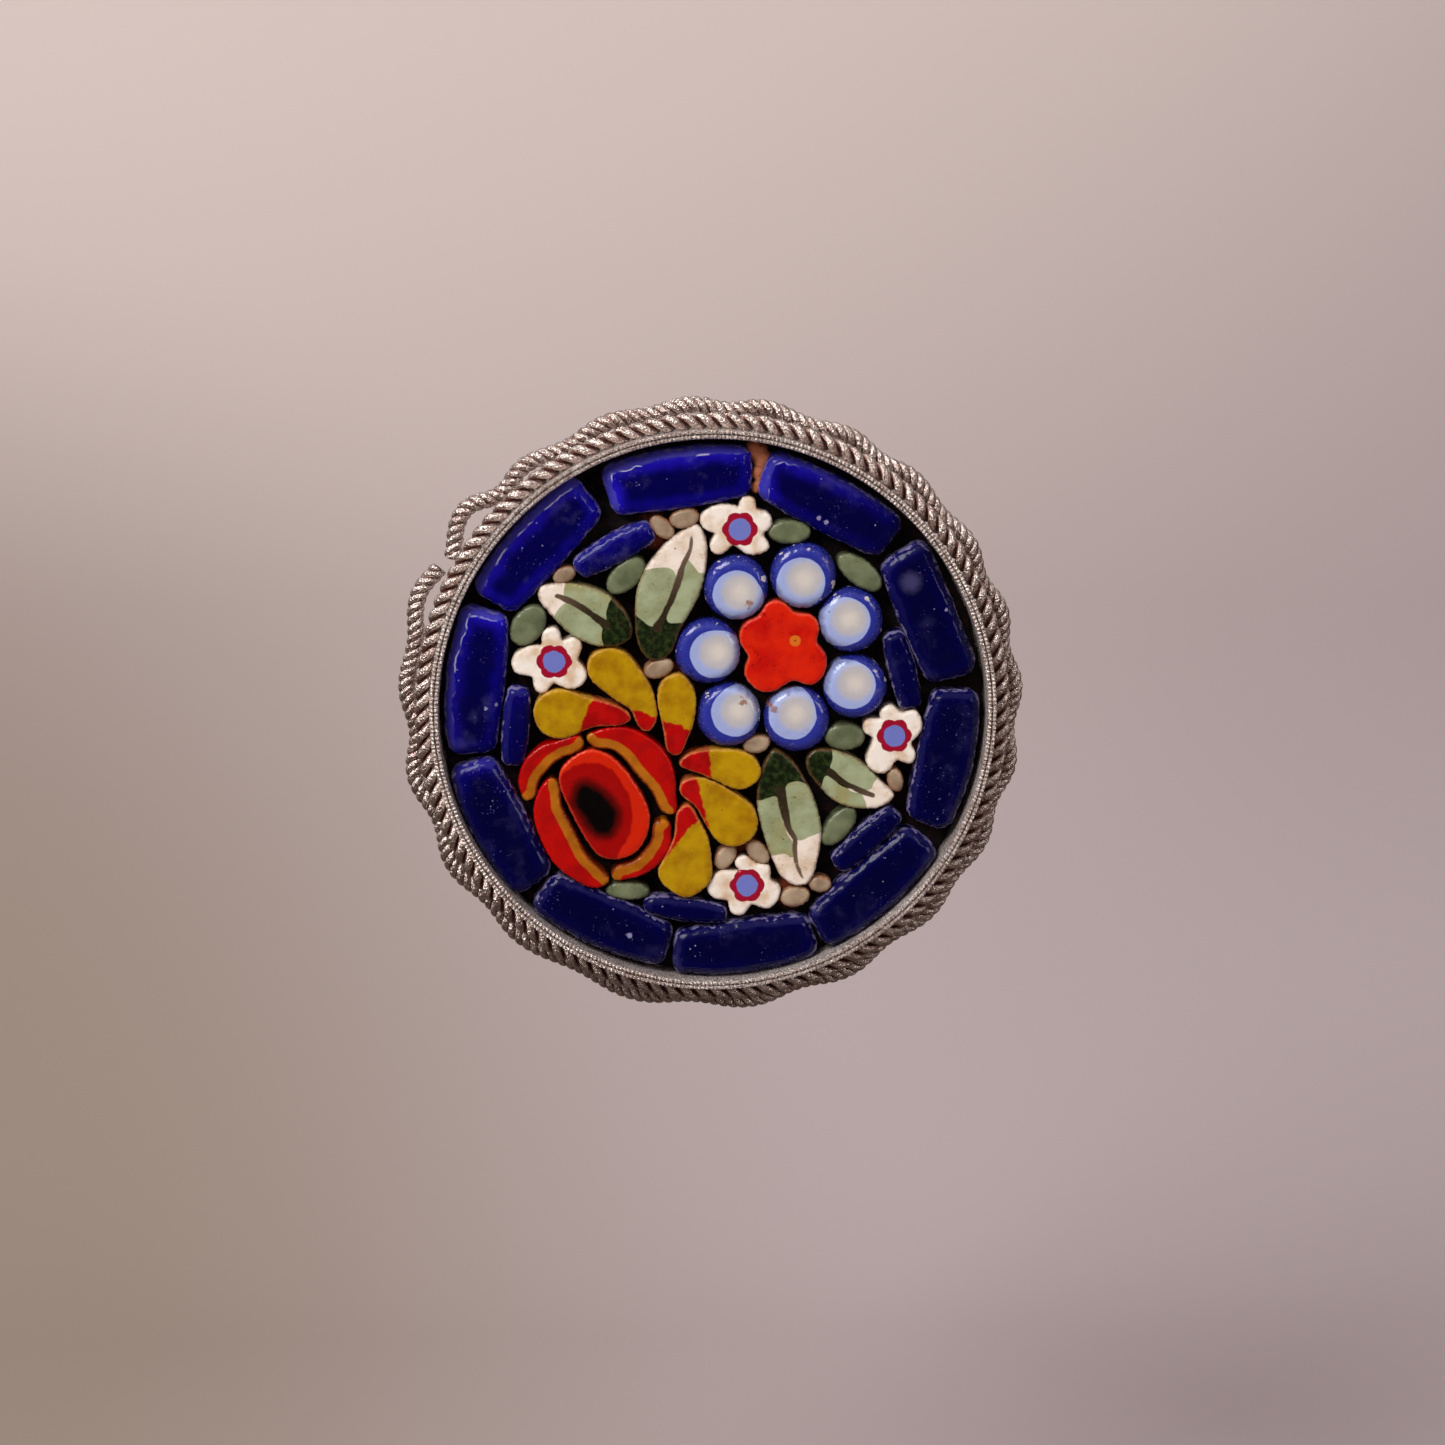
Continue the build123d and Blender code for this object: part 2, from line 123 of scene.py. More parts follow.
class Finish:
    """A material made from nodes, with short calls for the nodes that it needs."""

    def __init__(self, name):
        self.material = bpy.data.materials.new(name)
        self.material.use_nodes = True
        self.nodes = self.material.node_tree.nodes
        self.links = self.material.node_tree.links
        self.shader = self.nodes["Principled BSDF"]

    def put(self, value, socket):
        """Links a value that comes from a node, or sets a plain one."""
        if isinstance(value, bpy.types.NodeSocket):
            self.links.new(value, socket)
        else:
            socket.default_value = value

    def add_node(self, kind, **inputs):
        """A node of this kind, with its inputs linked or set."""
        node = self.nodes.new("ShaderNode" + kind)
        for name, value in inputs.items():
            self.put(value, node.inputs[name])
        return node

    def place(self):
        """The point on the piece, in millimetres."""
        coordinates = self.nodes.new("ShaderNodeTexCoord")
        scale = self.nodes.new("ShaderNodeVectorMath")
        scale.operation = "SCALE"
        scale.inputs["Scale"].default_value = 1 / to_metres
        self.links.new(coordinates.outputs["Object"], scale.inputs[0])
        return scale.outputs["Vector"]

    def measured(self, name):
        """A value that was measured on the mesh and kept with it."""
        attribute = self.nodes.new("ShaderNodeAttribute")
        attribute.attribute_name = name
        return attribute.outputs["Fac"]

    def pattern(self):
        """The piece's own pattern coordinates, along and across."""
        layout = self.nodes.new("ShaderNodeUVMap")
        layout.uv_map = "pattern"
        split = self.add_node("SeparateXYZ", Vector=layout.outputs["UV"])
        return split.outputs["X"], split.outputs["Y"]

    def math(self, operation, first, second=0.0, third=0.0):
        """The result of one sum on these values."""
        node = self.nodes.new("ShaderNodeMath")
        node.operation = operation
        for value, socket in zip((first, second, third), node.inputs):
            self.put(value, socket)
        return node.outputs["Value"]

    def times(self, first, second):
        """The product of two shares, which is high only where both are."""
        return self.math("MULTIPLY", first, second)

    def noise(self, size, detail=2.0, roughness=0.5, distortion=0.0):
        """Cloudy noise from 0 to 1, with features about this many millimetres across."""
        node = self.add_node("TexNoise", Vector=self.place(), Scale=1 / size, Detail=detail)
        self.put(roughness, node.inputs["Roughness"])
        self.put(distortion, node.inputs["Distortion"])
        return node.outputs["Fac"]

    def cells(self, size):
        """The distance to the nearest of many scattered points, from 0 to about 1."""
        node = self.add_node("TexVoronoi", Vector=self.place(), Scale=1 / size, Randomness=1.0)
        return node.outputs["Distance"]

    def step(self, value, low, high):
        """0 where the value is under low, 1 where it is over high, and smooth between them."""
        node = self.nodes.new("ShaderNodeMapRange")
        node.interpolation_type = "SMOOTHSTEP"
        self.put(value, node.inputs["Value"])
        node.inputs["From Min"].default_value = low
        node.inputs["From Max"].default_value = high
        return node.outputs["Result"]

    def blend(self, share, first, second):
        """Goes from the first colour to the second as share goes from 0 to 1."""
        node = self.nodes.new("ShaderNodeMix")
        node.data_type = "RGBA"
        self.put(share, node.inputs["Factor"])
        colour_a = [socket for socket in node.inputs if socket.name == "A" and socket.type == "RGBA"][0]
        colour_b = [socket for socket in node.inputs if socket.name == "B" and socket.type == "RGBA"][0]
        self.put(first, colour_a)
        self.put(second, colour_b)
        return [socket for socket in node.outputs if socket.type == "RGBA"][0]

    def clouds(self, size, low, high, detail=3, roughness=0.5):
        """Patches about this many millimetres across: 1 where the noise is over high, 0 where under low."""
        return self.step(self.noise(size, detail, roughness), low, high)

    def stained(self, body, share, strength, stain):
        """Lays a stain of this strength over the body's colour, where the share is high."""
        return self.blend(self.times(share, strength), body, stain)

    def ripple(self, size, width, detail=3):
        """Noise round zero that moves a border to and fro, by this width in all."""
        return self.math("MULTIPLY_ADD", self.noise(size, detail=detail), width, -width / 2)

    def rough_edge(self, size, width):
        """The distance from the piece's edge, made longer in places by up to this width."""
        return self.math("MULTIPLY_ADD", self.noise(size, detail=3), width, self.measured("from_edge"))

    def specks(self, spacing, outer, inner, cloud=0.5, low=0.5, high=0.58):
        """Scattered dots that reach out to a share of their spacing, gathered in some places."""
        dots = self.step(self.cells(spacing), outer, inner)
        return self.times(dots, self.clouds(cloud, low, high, detail=1))

    def spots(self, body, places, ripple, inner, strength, stain):
        """Lays a stain at each of these places. It is full out to the inner share of its reach."""
        for right, up, reach in places:
            away = self.math("ADD", self.distance_to(right, up), ripple)
            body = self.stained(body, self.step(away, reach, reach * inner), strength, stain)
        return body

    def distance_to(self, right, up):
        """How far the point lies from this one on the mosaic's face, in millimetres."""
        split = self.add_node("SeparateXYZ", Vector=self.place())
        across = self.math("SUBTRACT", split.outputs["X"], right)
        along = self.math("SUBTRACT", split.outputs["Z"], up - disc_drop)
        return self.length(across, along)

    def length(self, across, along):
        """The length of a line that goes this far across and this far along."""
        squares = self.math("MULTIPLY_ADD", across, across, self.times(along, along))
        return self.math("SQRT", squares)

    def relief(self, height, depth):
        """Raises and sinks the surface by the height, at most this many millimetres."""
        node = self.add_node("Bump", Distance=depth * to_metres, Height=height)
        return node.outputs["Normal"]

    def finish(self, colour, roughness, normal=None, metallic=0.0, gloss=0.5):
        """Sets the shader and gives the material."""
        self.put(colour, self.shader.inputs["Base Color"])
        self.put(roughness, self.shader.inputs["Roughness"])
        self.shader.inputs["Metallic"].default_value = metallic
        self.shader.inputs["Specular IOR Level"].default_value = gloss
        if normal is not None:
            self.links.new(normal, self.shader.inputs["Normal"])
        return self.material

    def glassy(self, body, least_roughness, gloss, depth=0.012):
        """Sets the shader to smeared glass: in clouds it is rougher and stands a little higher."""
        smear = self.noise(0.35, detail=4)
        roughness = self.math("MULTIPLY_ADD", smear, 0.3, least_roughness)
        return self.finish(body, roughness, self.relief(smear, depth), gloss=gloss)


def colour(red, green, blue):
    """A colour as it shows on screen, from 0 to 255, turned into light."""
    return tuple((channel / 255) ** 2.2 for channel in (red, green, blue)) + (1.0,)


# The camera stands a little above and a little left of the mosaic, and looks at a point to the right of and
# below its centre
frame_width = 57.8
camera_distance = 150.0
camera_azimuth = -2.0
camera_elevation = 10.0
aim = Vector((0.35, tray_back - rim_height, -disc_drop - 0.35))
sensor_width = 36.0

towards_camera = Vector((
    math.sin(math.radians(camera_azimuth)) * math.cos(math.radians(camera_elevation)),
    -math.cos(math.radians(camera_azimuth)) * math.cos(math.radians(camera_elevation)),
    math.sin(math.radians(camera_elevation)),
))
pick_nothing()
bpy.ops.object.camera_add(location=(aim + towards_camera * camera_distance) * to_metres)
camera = bpy.context.object
camera.rotation_euler = towards_camera.to_track_quat("Z", "Y").to_euler()
camera.data.sensor_width = sensor_width
camera.data.lens = sensor_width * camera_distance / frame_width
camera.data.clip_start = 0.005
camera.data.clip_end = 10
bpy.context.scene.camera = camera

# A plain pale floor that curves up behind the earring
floor_drop = 45.0
backdrop_distance = 75.0
backdrop_size = 900.0
cove_radius = 35.0
pick_nothing()
bpy.ops.mesh.primitive_plane_add(
    size=backdrop_size, location=(0, backdrop_distance - backdrop_size / 2, -floor_drop)
)
floor = bpy.context.object
floor.name = "floor"
bpy.ops.object.mode_set(mode="EDIT")
bpy.ops.mesh.select_all(action="DESELECT")
bpy.ops.object.mode_set(mode="OBJECT")
for vertex in floor.data.vertices:
    vertex.select = vertex.co.y > 0
bpy.ops.object.mode_set(mode="EDIT")
bpy.ops.mesh.extrude_region_move(TRANSFORM_OT_translate={"value": (0, 0, backdrop_size / 2)})
bpy.ops.object.mode_set(mode="OBJECT")
bevel = floor.modifiers.new("cove", "BEVEL")
bevel.width = cove_radius
bevel.segments = 16
bevel.limit_method = "ANGLE"
apply_all(floor)
bpy.ops.object.shade_smooth()
to_real_size(floor)
floor.visible_glossy = False

# The paper is painted lighter at the top, as if lit from above, and painted with a warm shadow at the lower
# left
backdrop = Finish("backdrop")
painted_top_light = backdrop.step(backdrop.distance_to(-20.0, 90.0), 130.0, 60.0)
painted_corner_shadow = backdrop.step(backdrop.distance_to(-55.0, -50.0), 70.0, 20.0)
paper = backdrop.blend(backdrop.noise(60.0, detail=1), colour(184, 172, 174), colour(176, 163, 166))
paper = backdrop.blend(painted_top_light, paper, colour(218, 205, 202))
paper = backdrop.blend(painted_corner_shadow, paper, colour(150, 136, 126))
floor.data.materials.append(backdrop.finish(paper, 0.9))

# Soft studio light: a large window of light from the upper left, a dim one from the right, and a pale room
def add_light(name, direction, distance, size, power, tint):
    """A square of light that faces the mosaic from this direction."""
    pick_nothing()
    bpy.ops.object.light_add(type="AREA", location=(aim + direction.normalized() * distance) * to_metres)
    light = bpy.context.object
    light.name = name
    light.rotation_euler = direction.to_track_quat("Z", "Y").to_euler()
    light.data.size = size * to_metres
    light.data.energy = power
    light.data.color = tint
    return light


add_light("window", Vector((-0.75, -0.75, 0.95)), 260.0, 130.0, 0.62, (1.0, 0.97, 0.94))
add_light("fill", Vector((0.9, -0.8, 0.35)), 300.0, 90.0, 0.13, (1.0, 0.95, 0.93))

# The room is pale above and on the left, and dim and brown elsewhere, which the metal and the glass reflect
room = bpy.data.worlds.new("room")
bpy.context.scene.world = room
room.use_nodes = True
background = room.node_tree.nodes["Background"]
direction = room.node_tree.nodes.new("ShaderNodeTexCoord")
towards_sky = room.node_tree.nodes.new("ShaderNodeVectorMath")
towards_sky.operation = "DOT_PRODUCT"
towards_sky.inputs[1].default_value = (-0.4, 0.1, 0.9)
ramp = room.node_tree.nodes.new("ShaderNodeValToRGB")
room.node_tree.links.new(direction.outputs["Generated"], towards_sky.inputs[0])
room.node_tree.links.new(towards_sky.outputs["Value"], ramp.inputs["Fac"])
room.node_tree.links.new(ramp.outputs["Color"], background.inputs["Color"])
ramp.color_ramp.elements[0].position = 0.0
ramp.color_ramp.elements[0].color = (0.2, 0.15, 0.125, 1.0)
ramp.color_ramp.elements[1].position = 0.45
ramp.color_ramp.elements[1].color = (0.9, 0.84, 0.8, 1.0)
background.inputs["Strength"].default_value = 0.55
bpy.context.scene.view_settings.view_transform = "Standard"


# Metal

def worn_silver(name, light, dark, in_groove=None, metallic=1.0, pitting=0.0, pit_size=0.1):
    """Soft worn silver, brown and dull where it lies deep, and brown in its pits."""
    silver = Finish(name)
    patches = silver.noise(1.6, detail=3)
    grain = silver.noise(0.07, detail=2)
    shade = silver.blend(silver.step(patches, 0.3, 0.7), light, dark)
    shade = silver.blend(silver.step(grain, 0.45, 0.8), shade, colour(158, 130, 122))
    tarnish = silver.clouds(0.28, 0.5, 0.66)
    shade = silver.stained(shade, tarnish, 0.5, colour(158, 128, 118))
    roughness = silver.math("MULTIPLY_ADD", grain, 0.22, 0.13)
    rough = silver.noise(pit_size, detail=3)
    shade = silver.stained(shade, silver.step(rough, 0.5, 0.62), pitting, colour(84, 58, 52))
    if in_groove is not None:
        groove = silver.step(silver.measured(in_groove), 0.88, 0.58)
        shade = silver.blend(groove, shade, colour(146, 110, 102))
        roughness = silver.math("MULTIPLY_ADD", groove, 0.2, roughness)
    normal = silver.relief(rough, -0.09)
    return silver.finish(shade, roughness, normal, metallic=metallic)


twisted_silver = worn_silver(
    "twisted_silver", colour(252, 240, 234), colour(222, 203, 196), in_groove="crown", pitting=0.45
)
plain_silver = worn_silver("plain_silver", colour(226, 216, 211), colour(196, 182, 176), pitting=0.2)
rim_silver = worn_silver(
    "rim_silver", colour(252, 244, 239), colour(240, 228, 222), metallic=0.6, pitting=0.6, pit_size=0.085
)

# The wires are twisted from round strands. One turn of a strand is modelled as a screw and repeated.

def twist_rope(
    name, strands, strand_radius, strand_offset, stretch, pitch, length, section_points, turn_steps
):
    """A straight rope along X: strands that wind round each other, each a little wider than it is thick."""
    pick_nothing()
    parts = []
    for number in range(strands):
        angle = 2 * math.pi * number / strands
        bpy.ops.mesh.primitive_circle_add(
            vertices=section_points, radius=strand_radius, fill_type="NOTHING", location=(0, 0, 0)
        )
        strand = bpy.context.object
        strand.scale = (1, stretch, 1)
        bpy.ops.object.transform_apply(location=False, rotation=False, scale=True)
        strand.location = (strand_offset * math.cos(angle), strand_offset * math.sin(angle), 0)
        strand.rotation_euler = (0, 0, angle)
        bpy.ops.object.transform_apply(location=True, rotation=True, scale=True)
        parts.append(strand)
    pick_nothing()
    for strand in parts:
        strand.select_set(True)
    rope = parts[0]
    bpy.context.view_layer.objects.active = rope
    if len(parts) > 1:
        bpy.ops.object.join()
    rope.name = name
    turns = max(1, round(length / pitch))
    screw = rope.modifiers.new("twist", "SCREW")
    screw.angle = 2 * math.pi
    screw.screw_offset = length / turns
    screw.iterations = turns
    screw.steps = turn_steps
    screw.render_steps = turn_steps
    screw.use_merge_vertices = False
    apply_all(rope)
    rope.rotation_euler = (0, math.pi / 2, 0)
    bpy.ops.object.transform_apply(location=False, rotation=True, scale=False)
    return rope


def keep_crown(rope, radius):
    """Measures how far each point stands from the rope's middle line, as a share of its radius."""
    crown = rope.data.attributes.new("crown", "FLOAT", "POINT")
    for vertex in rope.data.vertices:
        crown.data[vertex.index].value = math.hypot(vertex.co.y, vertex.co.z) / radius


def smooth_curve(name, points, closed):
    """A smooth curve through these points."""
    curve = bpy.data.curves.new(name, "CURVE")
    curve.dimensions = "3D"
    curve.resolution_u = 24
    spline = curve.splines.new("BEZIER")
    spline.bezier_points.add(len(points) - 1)
    for knot, point in zip(spline.bezier_points, points):
        knot.co = point
        knot.handle_left_type = "AUTO"
        knot.handle_right_type = "AUTO"
    spline.use_cyclic_u = closed
    return curve


def lay_along(rope, points, closed):
    """Bends a straight rope along a smooth line through these points, and closes its ends."""
    guide = bpy.data.objects.new(rope.name + "_line", smooth_curve(rope.name + "_line", points, closed))
    bpy.context.collection.objects.link(guide)
    bend = rope.modifiers.new("bend", "CURVE")
    bend.object = guide
    bend.deform_axis = "POS_X"
    apply_all(rope)
    bpy.data.objects.remove(guide)
    edit_all()
    bpy.ops.mesh.remove_doubles(threshold=0.01)
    bpy.ops.mesh.fill_holes(sides=0)
    bpy.ops.mesh.normals_make_consistent(inside=False)
    bpy.ops.object.mode_set(mode="OBJECT")
    bpy.ops.object.shade_smooth()


def line_length(points, closed):
    """The length of the smooth line through these points."""
    curve = smooth_curve("measure", points, closed)
    length = curve.splines[0].calc_length()
    bpy.data.curves.remove(curve)
    return length


# The coarse ring: two thick strands
ring_points = [on_ring(turn, ring_radius, ring_height) for turn in range(0, 360, 15)]
ring_wire = twist_rope(
    "ring_wire", strands=2, strand_radius=0.182, strand_offset=0.166, stretch=1.3, pitch=1.27,
    length=line_length(ring_points, closed=True), section_points=12, turn_steps=16,
)
keep_crown(ring_wire, ring_wire_diameter / 2)
lay_along(ring_wire, ring_points, closed=True)
to_real_size(ring_wire)
ring_wire.data.materials.append(twisted_silver)
settle(ring_wire, "silver", "setting")

# The scalloped wire: three fine strands, from where it was cut round to its free end
def whole_turns(turn):
    """Counts on past the top, so that the scallops' turns rise from the wire's start to its end."""
    return turn if turn > free_start_turn else turn + 360


scallops = sorted((whole_turns(turn), extra, slack) for turn, extra, slack in crests)
scallop_points = []
dip_turn = free_start_turn
for number, (turn, extra, slack) in enumerate(scallops):
    if number > 0:
        dip_turn = (scallops[number - 1][0] + turn) / 2
    scallop_points.append(on_ring(dip_turn, dip_radius + slack * scallop_dip, scallop_height))
    scallop_points.append(on_ring(turn, crest_radius + extra * scallop_rise, scallop_height))
scallop_points.append(on_ring(free_end_turn, free_end_radius, scallop_height))
scallop_wire = twist_rope(
    "scallop_wire", strands=3, strand_radius=0.176, strand_offset=0.18, stretch=1.25, pitch=1.16,
    length=line_length(scallop_points, closed=False), section_points=10, turn_steps=14,
)
keep_crown(scallop_wire, scallop_wire_diameter / 2)
lay_along(scallop_wire, scallop_points, closed=False)
to_real_size(scallop_wire)
scallop_wire.data.materials.append(twisted_silver)
settle(scallop_wire, "silver", "setting")


# The tray: a floor and an upright rim, whose front edge is milled into two rows of fine teeth

def spin_section(name, section, steps):
    """Turns a closed section, given as distance out and height, round the mosaic's axis."""
    pick_nothing()
    bpy.ops.mesh.primitive_circle_add(vertices=len(section), radius=1, fill_type="NOTHING")
    piece = bpy.context.object
    piece.name = name
    for vertex, (out, height) in zip(piece.data.vertices, section):
        vertex.co = (out, tray_back - height, -disc_drop)
    edit_all()
    bpy.ops.mesh.spin(steps=steps, angle=2 * math.pi, center=(0, 0, -disc_drop), axis=(0, 1, 0))
    bpy.ops.mesh.select_all(action="SELECT")
    bpy.ops.mesh.remove_doubles(threshold=0.0005)
    bpy.ops.mesh.normals_make_consistent(inside=False)
    bpy.ops.object.mode_set(mode="OBJECT")
    return piece


rim_teeth = 430
tooth_depth = 0.09
toothed_from = 2.45
# distance out, height
rim_section = [
    (0.0, 0.0), (10.9, 0.0), (11.2, 0.03), (rim_outer_radius, 0.15), (rim_outer_radius, 2.3), (11.36, 2.5),
    (11.34, rim_height - 0.02), (11.29, rim_height), (11.23, rim_height - 0.02), (11.19, rim_height - 0.14),
    (11.15, rim_height - 0.02), (11.09, rim_height), (11.03, rim_height - 0.03),
    (rim_inner_radius, rim_height - 0.12), (rim_inner_radius, tray_floor), (0.0, tray_floor),
]
tray = spin_section("tray", rim_section, rim_teeth * 2)
for vertex in tray.data.vertices:
    height = tray_back - vertex.co.y
    turn = math.atan2(vertex.co.x, vertex.co.z + disc_drop) / (2 * math.pi) * rim_teeth
    if height > toothed_from and round(turn * 2) % 2 == 0:
        vertex.co.y += tooth_depth
pick(tray)
bpy.ops.object.shade_smooth_by_angle(angle=math.radians(40))
to_real_size(tray)
tray.data.materials.append(rim_silver)
settle(tray, "silver", "setting")


# The glass. Each piece is shaped from its solid: a little uneven and chipped along its edges, as if cut by
# hand

def take_solid(node, name):
    """A joined-up copy of a solid, in millimetre units."""
    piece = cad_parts[node].copy()
    piece.data = piece.data.copy()
    piece.name = name
    bpy.context.collection.objects.link(piece)
    piece.parent = None
    pick(piece)
    piece.scale = (1 / to_metres, 1 / to_metres, 1 / to_metres)
    bpy.ops.object.transform_apply(location=True, rotation=True, scale=True)
    edit_all()
    bpy.ops.mesh.remove_doubles(threshold=0.001)
    bpy.ops.object.mode_set(mode="OBJECT")
    piece.data.materials.clear()
    return piece


def add_unevenness(piece, size, depth, inward=0.5, group=""):
    """Moves the surface by clouds of this size. The more inward, from 0 to 1, the more it only sinks."""
    clouds = bpy.data.textures.new(piece.name + "_clouds", "CLOUDS")
    clouds.noise_scale = size
    clouds.noise_depth = 2
    uneven = piece.modifiers.new("uneven", "DISPLACE")
    uneven.texture = clouds
    uneven.texture_coords = "LOCAL"
    uneven.strength = depth
    uneven.mid_level = inward
    uneven.vertex_group = group


side_tilt = 0.5


def distances_to_side(piece, keeps):
    """How far each point lies, seen from the front, from the side points that are kept, in millimetres."""
    upright = [vertex for vertex in piece.data.vertices if abs(vertex.normal.y) < side_tilt]
    sides = [vertex.co for vertex in upright if keeps(vertex)]
    tree = KDTree(len(sides))
    for number, point in enumerate(sides):
        tree.insert((point.x, 0, point.z), number)
    tree.balance()
    return [tree.find((vertex.co.x, 0, vertex.co.z))[2] for vertex in piece.data.vertices]


def any_side(vertex):
    """All sides."""
    return True


def upper_left_side(vertex):
    """The sides that face up and to the left, where the light comes from."""
    return vertex.normal.z - vertex.normal.x > 0.6


def keep_measure(piece, name, values):
    """Keeps one value for each point with the mesh, for its material to read."""
    measure = piece.data.attributes.new(name, "FLOAT", "POINT")
    measure.data.foreach_set("value", np.array(values, dtype=np.float32))


def front_places(piece):
    """Where each point lies on the mosaic's face: right and up from its centre, in millimetres."""
    corners = np.empty(len(piece.data.vertices) * 3, dtype=np.float32)
    piece.data.vertices.foreach_get("co", corners)
    corners = corners.reshape(-1, 3)
    return np.column_stack((corners[:, 0], corners[:, 2] + disc_drop))


def smooth_line(points, closed):
    """The smooth line through these points, as six short runs between each two."""
    points = np.array(points)
    if closed:
        around = np.concatenate((points[-1:], points, points[:2]))
    else:
        around = np.concatenate((points[:1], points, points[-1:]))
    line = []
    for before, start, end, after in zip(around, around[1:], around[2:], around[3:]):
        for share in np.arange(6) / 6:
            line.append((
                2 * start
                + (end - before) * share
                + (2 * before - 5 * start + 4 * end - after) * share ** 2
                + (3 * start - before - 3 * end + after) * share ** 3
            ) / 2)
    if not closed:
        line.append(points[-1])
    return np.array(line)


def depth_in_line(places, points):
    """How far inside a line each place lies. Its points are right, up and half the line's width."""
    depth = np.full(len(places), -9.0)
    line = smooth_line(points, closed=False)
    for start, end in zip(line, line[1:]):
        run = end[:2] - start[:2]
        share = np.clip((places - start[:2]) @ run / max(run @ run, 1e-9), 0, 1)
        half_width = start[2] + share * (end[2] - start[2])
        away = np.linalg.norm(places - start[:2] - share[:, None] * run, axis=1)
        depth = np.maximum(depth, half_width - away)
    return depth


def depth_in_outline(places, points):
    """How far inside a closed outline each place lies, and below zero outside."""
    nearest = np.full(len(places), 9.0)
    inside = np.zeros(len(places), dtype=bool)
    outline = smooth_line(points, closed=True)
    for start, end in zip(outline, np.roll(outline, -1, axis=0)):
        run = end - start
        share = np.clip((places - start) @ run / max(run @ run, 1e-9), 0, 1)
        nearest = np.minimum(nearest, np.linalg.norm(places - start - share[:, None] * run, axis=1))
        passes = (start[1] > places[:, 1]) != (end[1] > places[:, 1])
        crossing = start[0] + (places[:, 1] - start[1]) / (run[1] or 1) * run[0]
        inside ^= passes & (places[:, 0] < crossing)
    return np.where(inside, nearest, -nearest)


def lay_pattern(piece, start, end):
    """Gives pattern coordinates: 0 at the start, 1 at the end, and millimetres to the left of that line."""
    start = Vector(start)
    along = Vector(end) - start
    left = Vector((-along.y, along.x)).normalized()
    layout = piece.data.uv_layers.new(name="pattern")
    for loop in piece.data.loops:
        point = piece.data.vertices[loop.vertex_index].co
        place = Vector((point.x, point.z + disc_drop)) - start
        layout.data[loop.index].uv = (place.dot(along) / along.length_squared, place.dot(left))


def remesh_evenly(piece, voxel):
    """Adds a remesh into small even faces."""
    remesh = piece.modifiers.new("remesh", "REMESH")
    remesh.mode = "VOXEL"
    remesh.voxel_size = voxel


def shape_glass(
    node, voxel=0.045, unevenness=0.05, chip_size=0.16, chip_depth=0.07, kept_faces=0.6, growth=0.045
):
    """A piece of glass: its solid, remeshed, made uneven, and chipped along its edges."""
    piece = take_solid(node, node + "_glass")
    remesh_evenly(piece, voxel)
    soften = piece.modifiers.new("soften", "SMOOTH")
    soften.factor = 0.5
    soften.iterations = 2
    swell = piece.modifiers.new("swell", "DISPLACE")
    swell.strength = growth
    swell.mid_level = 0
    apply_all(piece)
    edge = piece.vertex_groups.new(name="edge")
    for number, distance in enumerate(distances_to_side(piece, any_side)):
        edge.add([number], max(0.15, 1 - distance / 0.3), "REPLACE")
    add_unevenness(piece, 1.3, unevenness)
    add_unevenness(piece, chip_size, chip_depth, inward=0.62, group="edge")
    fewer = piece.modifiers.new("fewer", "DECIMATE")
    fewer.ratio = kept_faces
    apply_all(piece)
    bpy.ops.object.shade_smooth()
    keep_measure(piece, "from_edge", distances_to_side(piece, any_side))
    return piece


def place_glass(piece, material, slot, node):
    """Finishes a piece of glass and stands it in place of its solid."""
    to_real_size(piece)
    piece.data.materials.append(material)
    settle(piece, slot, node)


# Pale nicks and one cloudy place in the blue glass, each with its place right and up, and how far it reaches
blue_nicks = [
    (9.33, 4.08, 0.1), (4.2, 7.8, 0.12), (4.5, 7.62, 0.1), (-9.1, 0.15, 0.1), (-8.7, 0.32, 0.09),
    (-3.4, -9.2, 0.14),
]
blue_clouds = [(7.9, 5.2, 0.6)]


